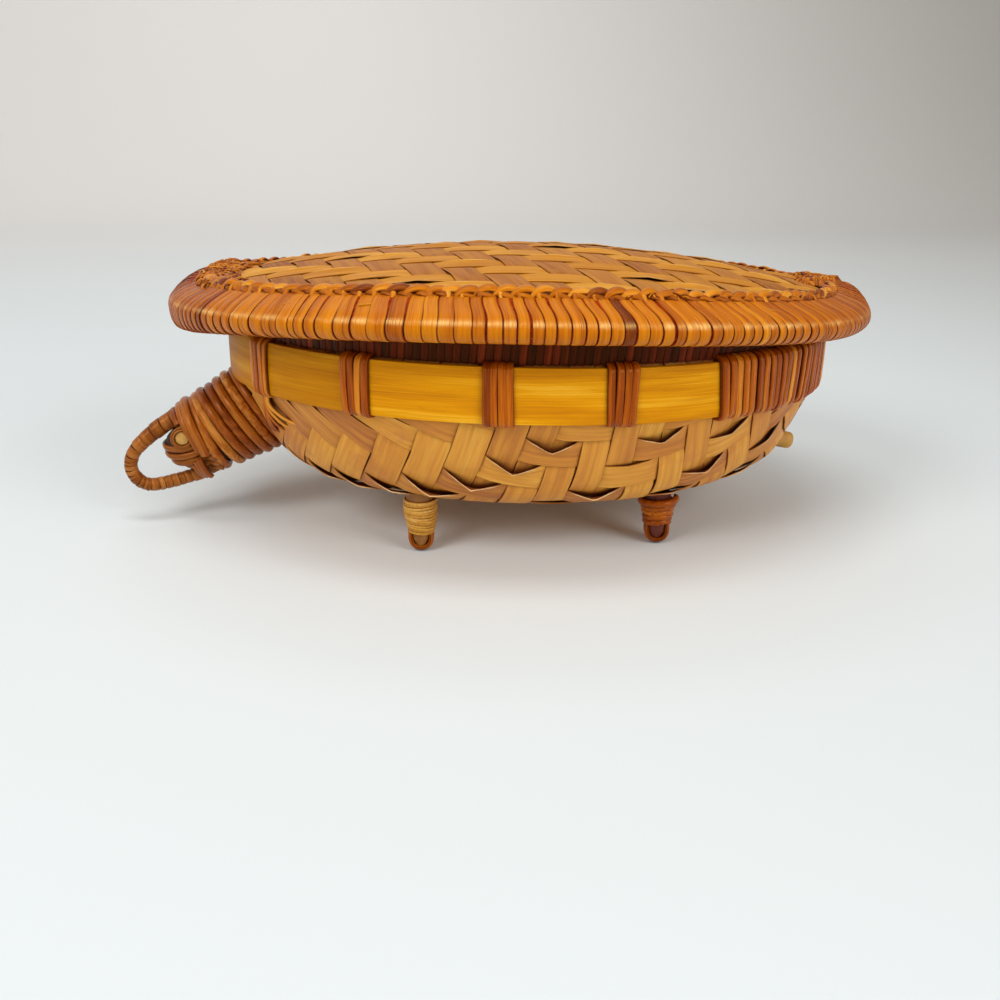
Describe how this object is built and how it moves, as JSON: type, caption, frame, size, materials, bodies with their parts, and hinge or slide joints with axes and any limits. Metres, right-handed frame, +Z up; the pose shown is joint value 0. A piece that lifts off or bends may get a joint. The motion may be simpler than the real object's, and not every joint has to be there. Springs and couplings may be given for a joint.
{
  "type": "lidded basket",
  "caption": "Oval lidded basket of plaited bamboo and rattan, shaped as a turtle: bound feet, a coiled head with a carrying loop, and a domed lid that lifts off.",
  "frame": {"origin": "on the surface it stands on, under the middle of its bounding box", "axes": "+Z up; +X from the head end, with the carrying loop, towards the tail end; -Y is the basket's left side, the one that faces the camera in the picture"},
  "size_m": [0.2689, 0.192, 0.0976],
  "materials": {
    "bamboo_gold": "satin split bamboo, fine straight grain",
    "plait_tan": "satin plaited bamboo strips, tan and pinkish brown",
    "cane_orange": "glossy flat cane, orange brown, dark seams",
    "rattan_brown": "glossy split rattan, red brown",
    "binding_tan": "dry fine strand, light tan"
  },
  "bodies": {
    "basket": {"woven_bowl": "plait_tan", "outer_band": "bamboo_gold", "inner_band": "bamboo_gold", "rim_outer_hoop": "bamboo_gold", "rim_inner_hoop": "bamboo_gold", "rim_whipping": "rattan_brown", "lashing_left_1": "rattan_brown", "lashing_left_2": "rattan_brown", "lashing_left_3": "rattan_brown", "lashing_left_4": "rattan_brown", "lashing_right_1": "rattan_brown", "lashing_right_2": "rattan_brown", "lashing_right_3": "rattan_brown", "lashing_right_4": "rattan_brown", "tail_lashing": "rattan_brown", "head_core": "rattan_brown", "head_wrap": "rattan_brown", "head_tie": "rattan_brown", "snout": "rattan_brown", "nose_strap_upper": "cane_orange", "nose_strap_lower": "cane_orange", "eye_dowel": "binding_tan", "carrying_loop": "rattan_brown", "front_left_foot_peg": "binding_tan", "front_right_foot_peg": "binding_tan", "rear_left_foot_peg": "binding_tan", "rear_right_foot_peg": "binding_tan", "front_left_foot_wrap": "binding_tan", "front_right_foot_wrap": "binding_tan", "rear_left_foot_wrap": "cane_orange", "rear_right_foot_wrap": "cane_orange", "front_left_toe_strap": "cane_orange", "front_right_toe_strap": "cane_orange", "rear_left_toe_strap": "cane_orange", "rear_right_toe_strap": "cane_orange", "tail_peg": "binding_tan"},
    "lid": {"lid_dome": "plait_tan", "lid_rim_rod": "bamboo_gold", "lid_inner_hoop": "bamboo_gold", "lid_rim_wrap": "cane_orange", "lid_braid": "cane_orange"}
  },
  "joints": [
    {"name": "lid_lift", "type": "slide", "parent": "basket", "child": "lid", "axis": [0, 0, 1], "range_m": [0, 0.12]}
  ]
}
